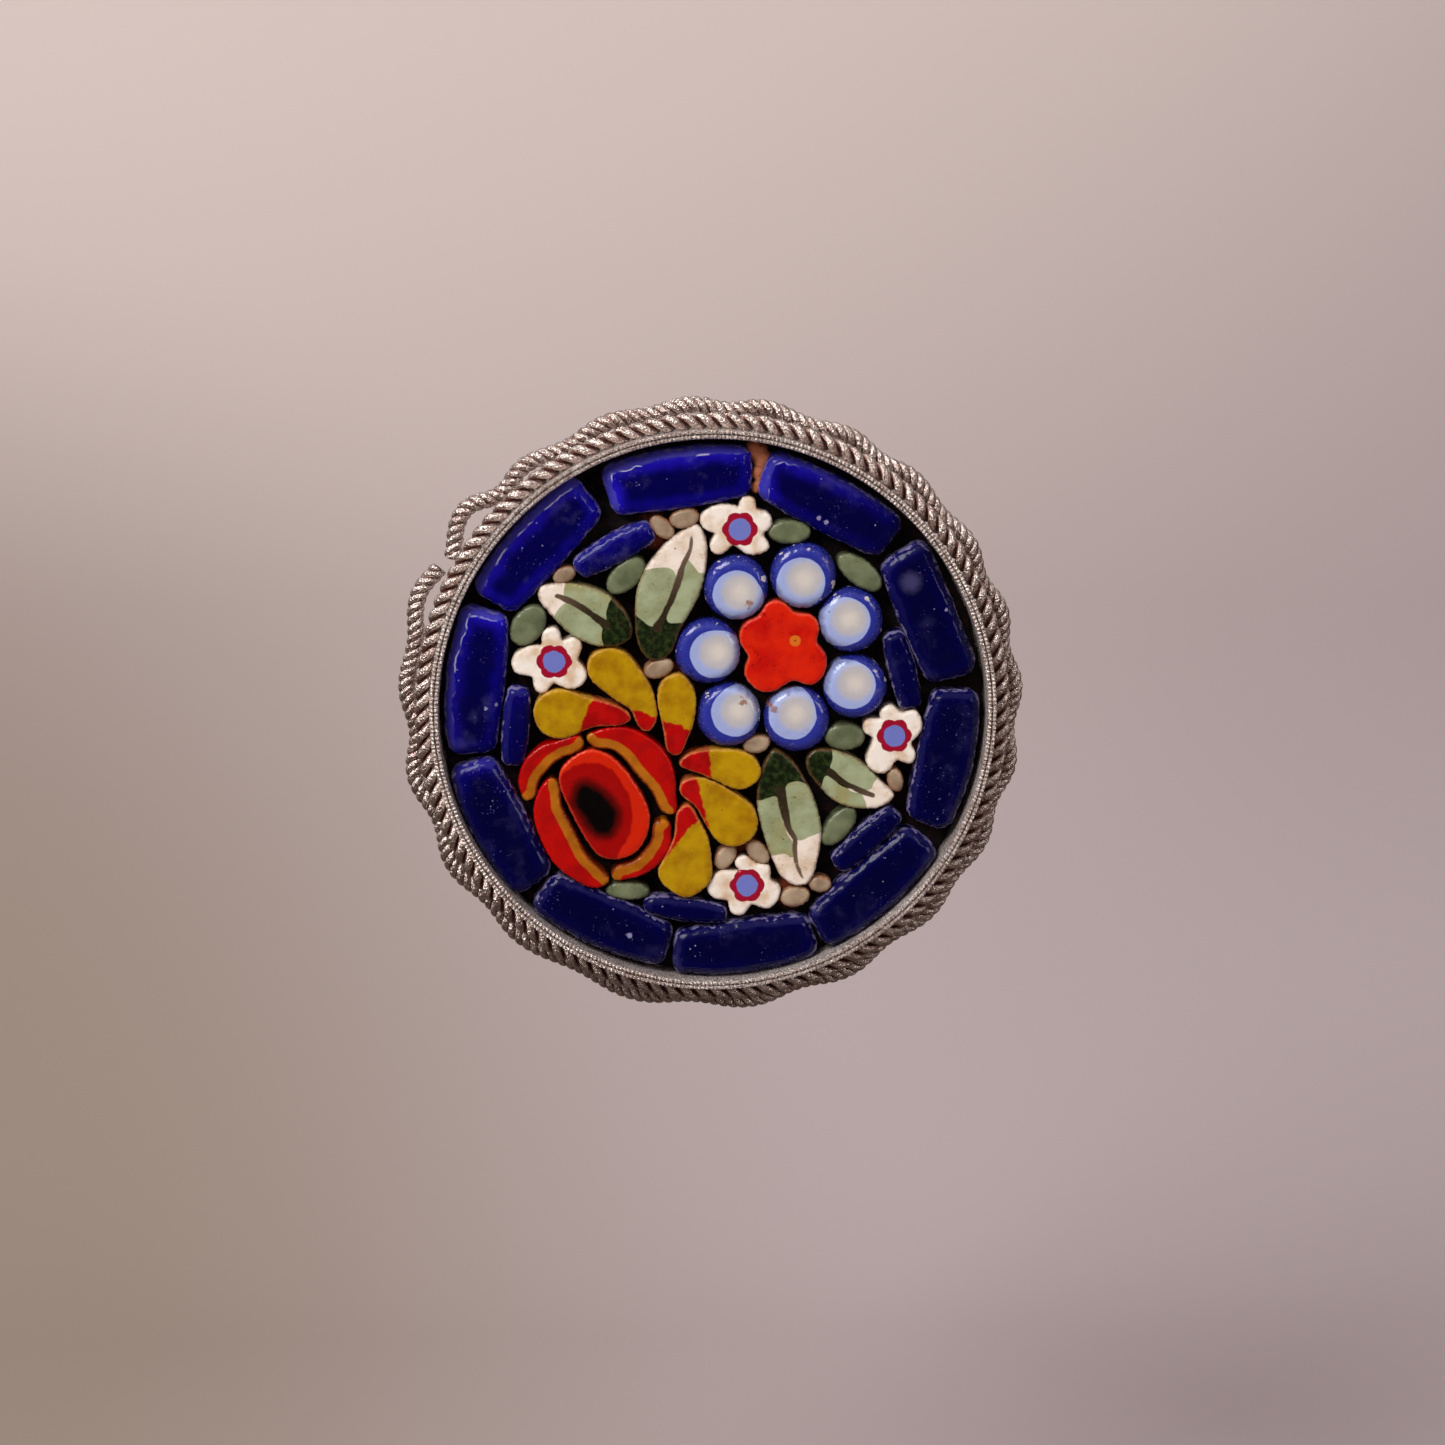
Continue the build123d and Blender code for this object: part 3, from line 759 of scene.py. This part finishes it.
def blue_glass_finish():
    """Dark blue glass with painted light: brighter towards the upper left and along its edges as if lit
    through, with a painted sheen and highlight streak on its upper left edges, a haze that is partly painted
    reflection, and ground dull at the very edge.
    """
    glass = Finish("blue_glass")
    edge = glass.measured("from_edge")
    cloud = glass.ripple(1.2, 0.6)
    # Painted light: bars nearer the upper left are painted a brighter blue, and each bar is painted brighter
    # towards its edges as if lit through, most along its upper left edges
    towards_light = glass.step(glass.distance_to(-6.0, 9.0), 15.0, 4.0)
    painted_glow = glass.times(towards_light, glass.measured("painted_glow"))
    deep = glass.blend(towards_light, colour(1, 0, 54), colour(5, 2, 74))
    painted_edge_colour = glass.blend(painted_glow, colour(3, 1, 66), colour(20, 12, 138))
    body = glass.blend(glass.step(glass.math("ADD", edge, cloud), 0.7, 0.1), deep, painted_edge_colour)
    from_lit = glass.measured("from_lit_edge")
    painted_lit_band = glass.step(glass.math("ADD", from_lit, cloud), 0.9, 0.0)
    body = glass.stained(body, painted_lit_band, painted_glow, colour(36, 26, 186))
    ground = glass.step(glass.rough_edge(0.25, 0.14), 0.105, 0.07)
    patchy = glass.clouds(0.4, 0.42, 0.56)
    body = glass.stained(body, glass.times(ground, patchy), 0.75, colour(136, 128, 168))
    # A pale strip along the upper left edges, partly ground glass and partly painted sheen, strongest where
    # the painted glow is, with a broken white painted highlight streak in it
    waver = glass.math("MULTIPLY_ADD", glass.noise(0.9, detail=2), 0.3, from_lit)
    bevel_sheen_strength = glass.math("MULTIPLY_ADD", painted_glow, 0.45, 0.04)
    body = glass.stained(body, glass.step(waver, 0.44, 0.38), bevel_sheen_strength, colour(84, 82, 158))
    painted_highlight = glass.step(glass.math("ABSOLUTE", glass.math("ADD", waver, -0.44)), 0.045, 0.01)
    painted_highlight = glass.times(painted_highlight, glass.step(painted_glow, 0.3, 0.8))
    painted_highlight = glass.times(painted_highlight, glass.clouds(0.8, 0.46, 0.6, detail=2))
    body = glass.stained(body, painted_highlight, 0.85, colour(206, 208, 240))
    # A whitish haze, partly haze on the glass and partly painted reflection, painted stronger towards the
    # upper left
    haze_and_sheen = glass.clouds(1.5, 0.54, 0.78, detail=4, roughness=0.6)
    haze_and_sheen_strength = glass.math("MULTIPLY_ADD", towards_light, 0.22, 0.14)
    body = glass.stained(body, haze_and_sheen, haze_and_sheen_strength, colour(96, 92, 156))
    rubs = glass.clouds(0.12, 0.64, 0.7)
    rubs = glass.times(rubs, glass.clouds(1.1, 0.48, 0.6, detail=1))
    body = glass.stained(body, rubs, 0.4, colour(108, 106, 172))
    dust = glass.specks(0.42, 0.1, 0.06, cloud=0.7, high=0.6)
    body = glass.stained(body, dust, 0.6, colour(165, 160, 195))
    patch = glass.ripple(0.15, 0.2)
    body = glass.spots(body, blue_nicks, patch, inner=0.5, strength=0.8, stain=colour(150, 148, 190))
    body = glass.spots(body, blue_clouds, patch, inner=0.2, strength=0.3, stain=colour(110, 106, 160))
    smear = glass.noise(0.5, detail=4)
    roughness = glass.math("MULTIPLY_ADD", glass.step(smear, 0.45, 0.7), 0.16, 0.1)
    roughness = glass.math("MULTIPLY_ADD", ground, 0.3, roughness)
    return glass.finish(body, roughness, glass.relief(smear, 0.012), gloss=0.16)


blue_glass = blue_glass_finish()


blue_kept_faces = 0.5


def place_blue_bar(node, voxel, unevenness, painted_glow):
    """A blue bar. The painted glow, from 0 to 1, is how strongly painted light shows along its upper left
    edges.
    """
    bar = shape_glass(
        node, voxel, unevenness, chip_size=0.24, chip_depth=0.12, kept_faces=blue_kept_faces, growth=0.06
    )
    keep_measure(bar, "from_lit_edge", distances_to_side(bar, upper_left_side))
    keep_measure(bar, "painted_glow", [painted_glow] * len(bar.data.vertices))
    place_glass(bar, blue_glass, "blue_glass", node)


for number in range(1, 11):
    place_blue_bar(f"border_bar_{number:02d}", voxel=0.065, unevenness=0.1, painted_glow=1.0)
for number in range(1, 6):
    place_blue_bar(f"inner_bar_{number}", voxel=0.05, unevenness=0.05, painted_glow=0.2)

# The large flower: the middles of the petals' white faces, right and up, and how much further a face reaches
# towards the flower's middle. Stains and chips have their place right and up, and how far they reach.
petal_faces = [
    (0.93, 4.74), (3.51, 5.25), (5.32, 3.64), (5.56, 1.03), (3.19, -0.19), (0.87, -0.06), (0.03, 2.32),
]
petal_face_radius = 0.96
petal_face_pull = 0.25
flower_middle = (2.8, 2.5)
petal_stains = [
    (1.14, 0.37, 0.16), (1.12, 0.6, 0.14), (2.42, 0.08, 0.2), (2.25, 0.25, 0.16), (1.45, 4.35, 0.2),
]
petal_chips = [
    (2.06, 5.36, 0.16), (4.81, 5.11, 0.16), (6.1, 2.37, 0.16), (6.62, 2.02, 0.18), (7.02, 1.27, 0.12),
]


def depth_in_petal_face(places, centre):
    """How far inside a petal's white face each place lies, and below zero outside."""
    offsets = places - centre
    reach = np.linalg.norm(offsets, axis=1)
    towards = np.subtract(flower_middle, centre)
    facing = np.clip(offsets @ towards / np.linalg.norm(towards) / np.maximum(reach, 0.01), 0, 1)
    return petal_face_radius + petal_face_pull * facing ** 2 - reach


def petal_glass_finish():
    """A round petal: a white face, pale blue towards its edge, in a cobalt coat."""
    glass = Finish("petal_glass")
    along, across = glass.pattern()
    from_core = glass.length(glass.math("ADD", along, -0.14), glass.math("ADD", across, -0.1))
    ripple = glass.ripple(0.5, 0.14)
    from_core = glass.math("ADD", from_core, ripple)
    white = glass.blend(glass.step(from_core, 0.1, 0.6), colour(216, 210, 203), colour(190, 188, 193))
    face = glass.blend(glass.step(from_core, 0.55, 0.88), white, colour(160, 176, 228))
    in_face = glass.math("MULTIPLY_ADD", ripple, 0.6, glass.measured("in_face"))
    body = glass.blend(glass.step(in_face, 0.02, -0.02), face, colour(44, 52, 152))
    dark_coat = glass.step(glass.math("ADD", glass.measured("from_edge"), ripple), 0.22, 0.02)
    body = glass.stained(body, dark_coat, 0.5, colour(24, 26, 92))
    frost = glass.clouds(0.06, 0.6, 0.72, detail=2)
    frost = glass.times(frost, glass.step(glass.measured("from_edge"), 0.4, 0.1))
    body = glass.stained(body, frost, 0.5, colour(140, 142, 190))
    chips = glass.clouds(0.42, 0.66, 0.7)
    chips = glass.times(chips, glass.step(glass.measured("from_edge"), 0.28, 0.12))
    body = glass.blend(chips, body, colour(206, 200, 198))
    pits = glass.specks(0.4, 0.11, 0.07, cloud=0.6, low=0.52, high=0.6)
    body = glass.stained(body, pits, 0.75, colour(70, 62, 66))
    patch = glass.ripple(0.2, 0.5)
    body = glass.spots(body, petal_stains, patch, inner=0.5, strength=0.8, stain=colour(140, 92, 62))
    body = glass.spots(body, petal_chips, patch, inner=0.7, strength=1.0, stain=colour(214, 208, 206))
    grime = glass.clouds(0.7, 0.62, 0.78, detail=4, roughness=0.7)
    body = glass.stained(body, grime, 0.35, colour(150, 132, 120))
    smear = glass.noise(0.4, detail=4)
    roughness = glass.math("MULTIPLY_ADD", glass.step(smear, 0.4, 0.7), 0.2, 0.12)
    return glass.finish(body, roughness, glass.relief(smear, 0.012), gloss=0.5)


petal_glass = petal_glass_finish()
for number, (right, up) in enumerate(petal_faces, start=1):
    name = f"round_petal_{number}"
    petal = shape_glass(name, voxel=0.05, chip_size=0.18, chip_depth=0.09)
    keep_measure(petal, "in_face", depth_in_petal_face(front_places(petal), (right, up)))
    lay_pattern(petal, (right, up), (right + 1, up))
    place_glass(petal, petal_glass, "petal_glass", name)


def plain_glass_finish(name, light, dark, edge_colour):
    """Ground glass of one colour, clouded, pitted, and stained where it meets the cement."""
    glass = Finish(name)
    cloud = glass.noise(0.8, detail=4)
    body = glass.blend(glass.step(cloud, 0.3, 0.7), light, dark)
    body = glass.stained(body, glass.step(glass.rough_edge(0.3, 0.2), 0.2, 0.06), 0.8, edge_colour)
    body = glass.stained(body, glass.specks(0.35, 0.12, 0.07), 0.7, colour(48, 34, 26))
    return glass.glassy(body, 0.15, gloss=0.35, depth=0.015)


def dotted_red_finish():
    """The red flower: orange-red glass with fine cracks and an orange dot, dark in its middle."""
    glass = Finish("red_glass")
    cloud = glass.noise(0.9, detail=4)
    body = glass.blend(glass.step(cloud, 0.35, 0.7), colour(220, 38, 6), colour(198, 18, 2))
    cracks = glass.math("ABSOLUTE", glass.math("SUBTRACT", glass.noise(0.75, detail=2, distortion=0.6), 0.5))
    cracks = glass.times(glass.step(cracks, 0.012, 0.002), glass.step(cloud, 0.45, 0.6))
    body = glass.stained(body, cracks, 0.7, colour(110, 8, 4))
    from_dot = glass.math("MULTIPLY_ADD", cloud, 0.06, glass.distance_to(3.29, 2.84))
    body = glass.blend(glass.step(from_dot, 0.27, 0.24), body, colour(216, 112, 34))
    body = glass.blend(glass.step(from_dot, 0.08, 0.05), body, colour(110, 30, 8))
    edge = glass.step(glass.math("MULTIPLY_ADD", cloud, 0.1, glass.measured("from_edge")), 0.12, 0.05)
    body = glass.stained(body, edge, 0.6, colour(222, 92, 66))
    return glass.glassy(body, 0.15, gloss=0.25, depth=0.015)


red = shape_glass("red_flower", voxel=0.05)
place_glass(red, dotted_red_finish(), "red_glass", "red_flower")

green_glass = plain_glass_finish("green_glass", colour(120, 128, 98), colour(88, 98, 72), colour(58, 56, 40))
greens = shape_glass("green_chips", voxel=0.05, chip_depth=0.08, growth=0.075)
place_glass(greens, green_glass, "green_glass", "green_chips")
cream_glass = plain_glass_finish(
    "cream_glass", colour(178, 157, 133), colour(138, 116, 95), colour(150, 92, 58)
)
creams = shape_glass("cream_chips", chip_size=0.14, chip_depth=0.08, growth=0.075)
place_glass(creams, cream_glass, "cream_glass", "cream_chips")

# Leaves: dark green at the base, two sage lobes, a white tip and a dark midrib. Each leaf has a line from
# base to tip, its lobes' outlines, and its midrib as points of right, up and half the width.
leaves = {
    "leaf_1": {
        "line": ((-2.06, 3.57), (-1.42, 5.66)),
        "lobes": [[
            (-3.3, 4.3), (-3.2, 5.0), (-2.85, 5.58), (-2.27, 5.75), (-1.77, 5.75), (-1.54, 5.5),
            (-1.55, 5.07), (-1.8, 4.37), (-2.08, 3.9), (-2.39, 3.48), (-2.95, 3.85),
        ], [
            (-1.08, 6.09), (-0.88, 5.92), (-0.58, 5.57), (-0.05, 5.48), (-0.15, 4.8), (-0.5, 4.0),
            (-0.95, 3.66), (-1.5, 3.63), (-1.8, 3.7), (-1.7, 4.29), (-1.4, 5.14), (-1.22, 5.69),
        ]],
        "rib": [
            (-0.86, 7.08, 0.05), (-0.91, 6.54, 0.08), (-1.23, 5.84, 0.11), (-1.39, 5.26, 0.14),
            (-1.66, 4.52, 0.12), (-2.01, 3.82, 0.13), (-2.24, 3.39, 0.2),
        ],
    },
    "leaf_2": {
        "line": ((-4.41, 3.77), (-6.02, 4.49)),
        "lobes": [[
            (-5.75, 5.35), (-5.35, 5.5), (-4.65, 5.3), (-4.05, 4.85), (-4.22, 4.4), (-4.32, 4.05),
            (-4.36, 3.68), (-4.82, 3.9), (-5.36, 4.27), (-5.86, 4.6), (-5.9, 5.0),
        ], [
            (-6.16, 4.1), (-5.75, 4.37), (-5.21, 4.0), (-4.75, 3.62), (-4.5, 3.42), (-4.52, 3.0),
            (-4.45, 2.45), (-5.1, 2.45), (-5.8, 2.9), (-6.3, 3.6),
        ]],
        "rib": [
            (-6.22, 4.69, 0.1), (-5.9, 4.57, 0.12), (-5.29, 4.25, 0.13), (-4.75, 3.88, 0.12),
            (-4.29, 3.52, 0.18),
        ],
    },
    "leaf_3": {
        "line": ((2.66, -3.28), (3.16, -5.42)),
        "lobes": [[
            (1.55, -3.95), (2.1, -3.66), (2.57, -3.6), (2.74, -4.31), (2.93, -5.03), (3.18, -5.51),
            (3.2, -6.0), (2.9, -5.83), (2.1, -5.85), (1.7, -5.0),
        ], [
            (2.94, -3.28), (3.09, -3.0), (3.6, -3.0), (4.25, -3.5), (4.6, -4.3), (4.55, -4.8),
            (3.84, -5.16), (3.41, -5.28), (3.2, -4.95), (3.04, -4.31), (2.94, -3.76),
        ]],
        "rib": [
            (2.74, -3.28, 0.2), (2.82, -3.84, 0.18), (2.92, -4.31, 0.16), (3.07, -4.87, 0.12),
            (3.31, -5.27, 0.1), (3.3, -5.67, 0.1), (3.38, -6.31, 0.08), (3.61, -6.86, 0.05),
        ],
    },
    "leaf_4": {
        "line": ((4.85, -2.67), (6.26, -3.34)),
        "lobes": [[
            (4.9, -1.3), (5.6, -1.45), (6.3, -1.85), (6.75, -2.45), (6.45, -2.95), (6.3, -3.2),
            (5.87, -3.18), (5.39, -2.88), (4.92, -2.55), (4.77, -2.34), (4.86, -2.0),
        ], [
            (4.6, -2.72), (5.08, -3.1), (5.71, -3.42), (5.98, -3.48), (6.15, -4.2), (5.6, -4.3),
            (4.85, -4.0), (4.3, -3.6), (4.42, -3.1),
        ]],
        "rib": [
            (4.71, -2.54, 0.17), (5.32, -2.98, 0.11), (5.94, -3.3, 0.12), (6.45, -3.5, 0.1),
        ],
    },
}


def leaf_glass_finish():
    """Leaf glass: mossy at the base and white at the tip, with sage lobes and a brown midrib."""
    glass = Finish("leaf_glass")
    along, _ = glass.pattern()
    ripple = glass.ripple(0.3, 0.08)
    cloud = glass.noise(0.7, detail=3)
    white = glass.blend(glass.step(cloud, 0.35, 0.75), colour(246, 234, 222), colour(222, 200, 176))
    sage = glass.blend(glass.step(cloud, 0.3, 0.7), colour(166, 177, 142), colour(144, 152, 114))
    olive = glass.clouds(1.6, 0.5, 0.66)
    sage = glass.stained(sage, olive, 0.75, colour(156, 150, 98))
    moss = glass.blend(glass.clouds(0.22, 0.4, 0.7), colour(20, 30, 12), colour(44, 60, 28))
    body = glass.blend(glass.step(along, 0.45, 0.55), moss, white)
    in_lobe = glass.math("ADD", glass.measured("in_lobe"), ripple)
    body = glass.blend(glass.step(in_lobe, -0.07, -0.03), body, sage)
    rib = glass.blend(glass.step(along, 0.2, 1.6), colour(50, 42, 28), colour(112, 92, 76))
    in_rib = glass.math("ADD", glass.measured("in_rib"), ripple)
    body = glass.blend(glass.step(in_rib, -0.03, 0.03), body, rib)
    stain = glass.step(glass.rough_edge(0.3, 0.2), 0.22, 0.06)
    body = glass.stained(body, stain, 0.65, colour(116, 80, 52))
    grime = glass.times(glass.clouds(0.1, 0.58, 0.68, detail=2), glass.step(cloud, 0.42, 0.6))
    body = glass.stained(body, grime, 0.3, colour(96, 76, 48))
    body = glass.stained(body, glass.specks(0.4, 0.11, 0.07), 0.8, colour(46, 32, 22))
    return glass.glassy(body, 0.15, gloss=0.35)


leaf_glass = leaf_glass_finish()
for name, leaf_pattern in leaves.items():
    leaf = shape_glass(name, chip_depth=0.08, kept_faces=0.75)
    places = front_places(leaf)
    lobes = [depth_in_outline(places, outline) for outline in leaf_pattern["lobes"]]
    keep_measure(leaf, "in_lobe", np.maximum(*lobes))
    keep_measure(leaf, "in_rib", depth_in_line(places, leaf_pattern["rib"]))
    lay_pattern(leaf, *leaf_pattern["line"])
    place_glass(leaf, leaf_glass, "leaf_glass", name)

# Yellow petals with a red end. Each line starts where the red ends and runs one millimetre into the yellow.
yellow_lines = [
    ((-5.06, 0.04), (-5.99, 0.42)), ((-2.92, 0.0), (-2.58, 0.94)), ((-1.53, -0.5), (-1.21, 0.45)),
    ((-0.11, -2.1), (0.89, -2.02)), ((-0.5, -3.5), (0.47, -3.26)), ((-1.08, -4.95), (-0.33, -5.61)),
]


def yellow_glass_finish():
    """Yellow glass with a dark red end, pitted, and pale along its edge."""
    glass = Finish("yellow_glass")
    along, _ = glass.pattern()
    cloud = glass.noise(0.6, detail=4)
    wander = glass.math("ADD", along, glass.ripple(0.4, 0.4))
    yellow = glass.blend(glass.step(cloud, 0.3, 0.75), colour(186, 146, 4), colour(158, 112, 0))
    red = glass.blend(glass.step(cloud, 0.35, 0.7), colour(184, 6, 10), colour(150, 0, 6))
    body = glass.blend(glass.step(wander, -0.04, 0.04), red, yellow)
    body = glass.stained(body, glass.specks(0.35, 0.11, 0.07), 0.5, colour(86, 54, 6))
    edge = glass.step(glass.rough_edge(0.3, 0.1), 0.12, 0.05)
    body = glass.stained(body, edge, 0.4, colour(206, 150, 84))
    return glass.glassy(body, 0.13, gloss=0.25)


yellow_glass = yellow_glass_finish()
for number, (start, end) in enumerate(yellow_lines, start=1):
    name = f"yellow_petal_{number}"
    drop = shape_glass(name)
    lay_pattern(drop, start, end)
    place_glass(drop, yellow_glass, "yellow_glass", name)

# The rose: a heart with a black spot in dark red, and petals with an ochre inner edge
heart_centre = (-4.76, -4.05)
heart_spot = [
    (-5.61, -3.3), (-5.37, -2.87), (-4.94, -2.89), (-4.4, -3.23), (-4.01, -3.71), (-3.78, -4.19),
    (-3.9, -4.74), (-4.22, -5.1), (-4.72, -5.06), (-5.11, -4.65), (-5.42, -4.18), (-5.69, -3.7),
]
heart_red = [
    (-6.4, -2.9), (-6.0, -2.42), (-5.48, -2.15), (-4.78, -2.04), (-4.09, -2.36), (-3.62, -3.0),
    (-3.31, -3.79), (-3.28, -4.59), (-3.48, -5.22), (-3.87, -5.9), (-4.26, -6.4), (-5.0, -6.1),
    (-5.8, -5.2), (-6.3, -3.93),
]


def heart_glass_finish():
    """The rose's heart: a black spot in dark red, orange-red further out, and pale at its edge."""
    glass = Finish("heart_glass")
    ripple = glass.ripple(0.4, 0.24)
    spot = glass.math("ADD", glass.measured("in_spot"), ripple)
    deep = glass.math("ADD", glass.measured("in_red"), ripple)
    body = glass.blend(glass.step(deep, -0.05, 0.06), colour(206, 38, 8), colour(158, 4, 2))
    body = glass.blend(glass.step(spot, -0.3, 0.02), body, colour(92, 8, 2))
    body = glass.blend(glass.step(spot, -0.05, 0.28), body, colour(10, 1, 2))
    edge = glass.step(glass.measured("from_edge"), 0.1, 0.02)
    body = glass.stained(body, edge, 0.4, colour(224, 84, 56))
    return glass.glassy(body, 0.1, gloss=0.25)


heart = shape_glass("rose_heart", voxel=0.05)
heart_places = front_places(heart)
keep_measure(heart, "in_spot", depth_in_outline(heart_places, heart_spot))
keep_measure(heart, "in_red", depth_in_outline(heart_places, heart_red))
place_glass(heart, heart_glass_finish(), "rose_glass", "rose_heart")


def rose_glass_finish():
    """Dark red glass with an ochre strip along its inner edge."""
    glass = Finish("rose_glass")
    inner = glass.math("ADD", glass.measured("from_inner_edge"), glass.ripple(0.4, 0.12))
    cloud = glass.noise(0.7, detail=3)
    red_part = glass.blend(glass.step(cloud, 0.35, 0.7), colour(184, 14, 8), colour(158, 2, 8))
    ochre = glass.blend(glass.step(cloud, 0.3, 0.7), colour(184, 108, 26), colour(158, 88, 14))
    body = glass.blend(glass.step(inner, 0.38, 0.43), ochre, red_part)
    body = glass.stained(body, glass.step(inner, 0.1, 0.03), 0.8, colour(104, 22, 8))
    return glass.glassy(body, 0.1, gloss=0.25)


def side_to_heart(vertex):
    """The sides that face the middle of the rose."""
    towards = Vector((heart_centre[0] - vertex.co.x, 0, heart_centre[1] - disc_drop - vertex.co.z))
    return Vector((vertex.normal.x, 0, vertex.normal.z)).normalized().dot(towards.normalized()) > 0.5


rose_glass = rose_glass_finish()
for number in range(1, 5):
    name = f"rose_petal_{number}"
    petal = shape_glass(name)
    keep_measure(petal, "from_inner_edge", distances_to_side(petal, side_to_heart))
    place_glass(petal, rose_glass, "rose_glass", name)

# The small white flowers: a crimson ring round a blue centre
flower_centres = [(1.07, 7.34), (-6.37, 2.04), (7.3, -1.06), (1.37, -7.18)]


def flower_glass_finish():
    """White glass, stained in places, with a lobed crimson ring round a blue centre."""
    glass = Finish("flower_glass")
    along, across = glass.pattern()
    angle = glass.math("ARCTAN2", across, along)
    lobes = glass.math("ABSOLUTE", glass.math("COSINE", glass.times(angle, 3.0)))
    wander = glass.math("ADD", glass.length(along, across), glass.ripple(0.3, 0.12, detail=2))
    ring = glass.math("MULTIPLY_ADD", lobes, -0.09, wander)
    stain = glass.clouds(1.0, 0.46, 0.7, detail=4)
    white = glass.blend(stain, colour(248, 240, 230), colour(218, 188, 156))
    near_edge = glass.step(glass.rough_edge(0.3, 0.2), 0.2, 0.06)
    white = glass.stained(white, near_edge, 0.5, colour(148, 108, 78))
    body = glass.blend(glass.step(ring, 0.64, 0.6), white, colour(156, 12, 46))
    body = glass.blend(glass.step(wander, 0.46, 0.42), body, colour(112, 122, 200))
    return glass.glassy(body, 0.15, gloss=0.35)


flower_glass = flower_glass_finish()
for number, (right, up) in enumerate(flower_centres, start=1):
    name = f"white_flower_{number}"
    flower = shape_glass(name, unevenness=0.04, chip_size=0.14)
    lay_pattern(flower, (right, up), (right + 1, up))
    place_glass(flower, flower_glass, "flower_glass", name)

# The cement, dark and lumpy between the pieces of glass. It stands higher where it is stained brown, and a
# pale powder fills one gap. Each has its place right and up, and how far it reaches.
brown_stains = [
    (-2.3, 7.2, 0.9), (-1.6, 1.4, 0.7), (1.2, -5.3, 0.8), (3.2, -7.6, 0.8), (8.4, -1.9, 0.6),
    (0.4, -3.0, 0.5),
]
powder_spots = [(1.75, 10.5, 0.5), (2.0, 10.1, 0.45), (1.85, 9.55, 0.4), (1.8, 9.0, 0.35)]
stain_lift = 0.4
powder_lift = 0.8


def cement_finish():
    """Dull dark cement, with its brown stains and its pale powder."""
    cement = Finish("cement")
    grime = cement.noise(0.5, detail=4)
    body = cement.blend(cement.step(grime, 0.35, 0.75), colour(9, 4, 5), colour(40, 13, 12))
    grain = cement.ripple(0.25, 0.8, detail=4)
    body = cement.spots(body, brown_stains, grain, inner=0.5, strength=0.8, stain=colour(136, 62, 38))
    fine_grain = cement.times(grain, 0.5)
    body = cement.spots(body, powder_spots, fine_grain, inner=0.6, strength=1.0, stain=colour(184, 112, 80))
    return cement.finish(body, 0.8, cement.relief(cement.noise(0.12, detail=4), 0.06), gloss=0.3)


bed = take_solid("cement", "cement_bed")
remesh_evenly(bed, voxel=0.16)
apply_all(bed)
add_unevenness(bed, 0.7, 0.18)
apply_all(bed)
bed_places = front_places(bed)
lift = np.zeros(len(bed_places))
for spots, height in ((brown_stains, stain_lift), (powder_spots, powder_lift)):
    for right, up, reach in spots:
        away = np.linalg.norm(bed_places - (right, up), axis=1)
        lift = np.maximum(lift, height * np.clip(1.6 - away / reach, 0, 1))
for vertex in bed.data.vertices:
    if vertex.normal.y < -0.2:
        vertex.co.y -= lift[vertex.index]
pick(bed)
bpy.ops.object.shade_smooth()
place_glass(bed, cement_finish(), "cement", "cement")

screw_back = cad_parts["screw_back"]
screw_back.data.materials.clear()
screw_back.data.materials.append(plain_silver)
